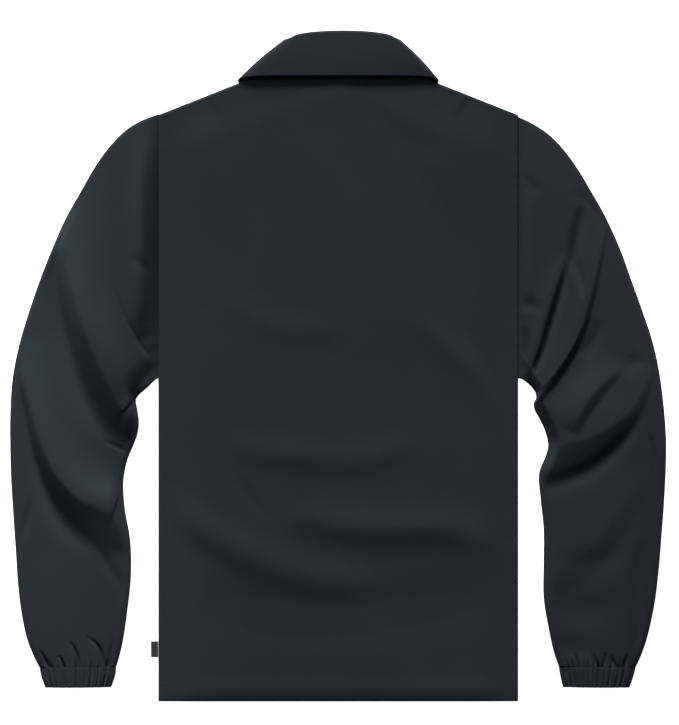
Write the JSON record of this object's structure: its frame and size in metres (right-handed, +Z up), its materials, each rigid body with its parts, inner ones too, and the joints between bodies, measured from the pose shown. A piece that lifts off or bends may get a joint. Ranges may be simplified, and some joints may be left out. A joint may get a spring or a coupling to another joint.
{
  "type": "coach jacket",
  "caption": "Plain coach jacket laid face down: straight body, long sleeves with elastic cuffs, folded collar with points, snap placket.",
  "frame": {"origin": "on the surface the jacket lies on, under the middle of its bounding box", "axes": "+Y from the hem to the collar, +X to the wearer's right, +Z up out of the jacket's back"},
  "size_m": [0.7871, 0.804, 0.0232],
  "materials": {
    "shell_cloth": "matte fine-ribbed poplin, charcoal",
    "elastic_cuff": "the same poplin gathered over elastic",
    "snap_cap": "satin black",
    "tag_ribbon": "woven ribbon, dark olive grey, bare"
  },
  "bodies": {
    "root": {"back": "shell_cloth", "front_left": "shell_cloth", "front_right": "shell_cloth", "sleeve_left": "shell_cloth", "sleeve_right": "shell_cloth", "cuff_left": "elastic_cuff", "cuff_right": "elastic_cuff", "collar": "shell_cloth", "snap_1": "snap_cap", "snap_2": "snap_cap", "snap_3": "snap_cap", "snap_4": "snap_cap", "snap_5": "snap_cap", "side_tag": "tag_ribbon"}
  },
  "joints": []
}
